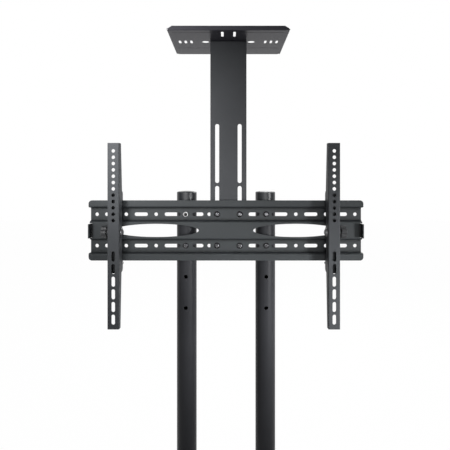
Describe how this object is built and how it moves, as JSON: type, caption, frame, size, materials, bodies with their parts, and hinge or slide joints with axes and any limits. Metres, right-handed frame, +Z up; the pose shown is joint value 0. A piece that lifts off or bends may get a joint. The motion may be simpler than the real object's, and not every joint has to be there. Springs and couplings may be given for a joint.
{
  "type": "tv mount",
  "caption": "Screen mount with a hooked rail on round posts, tilting arms with rows of holes and slots, and a raised camera shelf.",
  "frame": {"origin": "on the ground, midway between the lower ends of the two posts", "axes": "+Z up along the posts, +Y to the back, away from the screen, +X to the right as the picture shows it from the front"},
  "size_m": [0.6756, 0.188, 1.122],
  "materials": {
    "post_paint": "fine matt powder coat, black with a blue-grey tone",
    "cap_plastic": "polished",
    "rail_paint": "fine matt powder coat, black with a blue-grey tone",
    "bracket_paint": "fine matt powder coat, black with a blue-grey tone",
    "shelf_paint": "fine matt powder coat, black with a blue-grey tone",
    "arm_paint": "fine matt powder coat, black with a blue-grey tone",
    "hook_paint": "fine matt powder coat, black with a blue-grey tone",
    "black_screws": "black oxide, slightly oily",
    "bright_steel": "zinc plated",
    "knob_plastic": "moulded, finely grained"
  },
  "bodies": {
    "posts": {"left_post": "post_paint", "right_post": "post_paint", "left_post_cap": "cap_plastic", "right_post_cap": "cap_plastic"},
    "mount": {"mount_rail": "rail_paint", "upper_left_post_bolt": "black_screws", "upper_right_post_bolt": "black_screws", "lower_left_post_bolt": "black_screws", "lower_right_post_bolt": "black_screws", "shelf_bracket_screws": "black_screws", "shelf_bracket_nuts": "bright_steel"},
    "shelf": {"shelf_bracket": "bracket_paint", "camera_shelf": "shelf_paint", "shelf_bolts": "black_screws", "shelf_nuts": "bright_steel"},
    "left_hook": {"left_hook_bracket": "hook_paint", "left_tilt_bolt": "bright_steel", "left_tilt_washers": "bright_steel", "left_friction_washers": "knob_plastic", "left_tilt_sleeve": "bright_steel", "left_lock_screw": "bright_steel"},
    "left_arm": {"left_arm": "arm_paint"},
    "left_knob": {"left_knob": "knob_plastic"},
    "right_hook": {"right_hook_bracket": "hook_paint", "right_tilt_bolt": "bright_steel", "right_tilt_washers": "bright_steel", "right_friction_washers": "knob_plastic", "right_tilt_sleeve": "bright_steel", "right_lock_screw": "bright_steel"},
    "right_arm": {"right_arm": "arm_paint"},
    "right_knob": {"right_knob": "knob_plastic"}
  },
  "joints": [
    {"name": "mount_height", "type": "slide", "parent": "posts", "child": "mount", "axis": [0, 0, 1], "range_m": [-0.234, 0]},
    {"name": "shelf_height", "type": "slide", "parent": "mount", "child": "shelf", "axis": [0, 0, 1], "range_m": [-0.066, 0.007]},
    {"name": "left_hook_slide", "type": "slide", "parent": "mount", "child": "left_hook", "axis": [1, 0, 0], "range_m": [-0.031, 0.167]},
    {"name": "left_tilt", "type": "hinge", "parent": "left_hook", "child": "left_arm", "pos_m": [-0.267, -0.0548, 0.638], "axis": [1, 0, 0], "range_deg": [-5, 8]},
    {"name": "left_knob_turn", "type": "hinge", "parent": "left_hook", "child": "left_knob", "pos_m": [-0.267, -0.0548, 0.638], "axis": [-1, 0, 0], "range_deg": [0, 360]},
    {"name": "right_hook_slide", "type": "slide", "parent": "mount", "child": "right_hook", "axis": [1, 0, 0], "range_m": [-0.157, 0.041]},
    {"name": "right_tilt", "type": "hinge", "parent": "right_hook", "child": "right_arm", "pos_m": [0.257, -0.0548, 0.638], "axis": [1, 0, 0], "range_deg": [-5, 8]},
    {"name": "right_knob_turn", "type": "hinge", "parent": "right_hook", "child": "right_knob", "pos_m": [0.257, -0.0548, 0.638], "axis": [1, 0, 0], "range_deg": [0, 360]}
  ]
}
